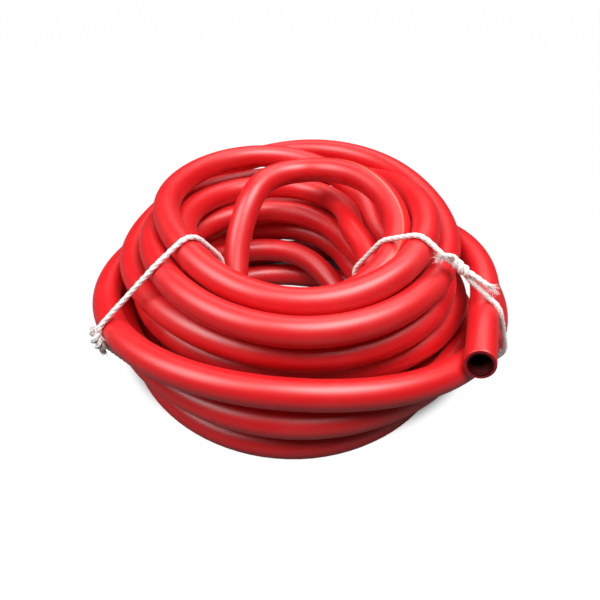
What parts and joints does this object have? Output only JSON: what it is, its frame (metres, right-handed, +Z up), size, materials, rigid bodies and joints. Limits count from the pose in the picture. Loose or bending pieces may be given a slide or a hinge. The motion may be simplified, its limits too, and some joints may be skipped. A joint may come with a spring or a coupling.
{
  "type": "coiled air hose",
  "caption": "Loose untidy coil of smooth rubber air hose, held by two twisted cotton ties, with straight open cut ends.",
  "frame": {"origin": "middle of the coil's bounding box, on the floor", "axes": "+Z up out of the coil's eye, -Y towards the front where the turns are stacked evenly, +X to the side of the free cut end"},
  "size_m": [0.2892, 0.297, 0.1118],
  "materials": {
    "hose_cover": "satin smooth red rubber",
    "reinforcement": "textile plies bonded between the rubber layers",
    "hose_lining": "smooth dark red rubber",
    "cotton_string": "twisted undyed cotton"
  },
  "bodies": {
    "root": {"hose_coil": "hose_cover", "free_end_cover": "hose_cover", "free_end_reinforcement": "reinforcement", "free_end_lining": "hose_lining", "inner_end_cover": "hose_cover", "inner_end_reinforcement": "reinforcement", "inner_end_lining": "hose_lining", "left_tie": "cotton_string", "right_tie": "cotton_string"}
  },
  "joints": []
}
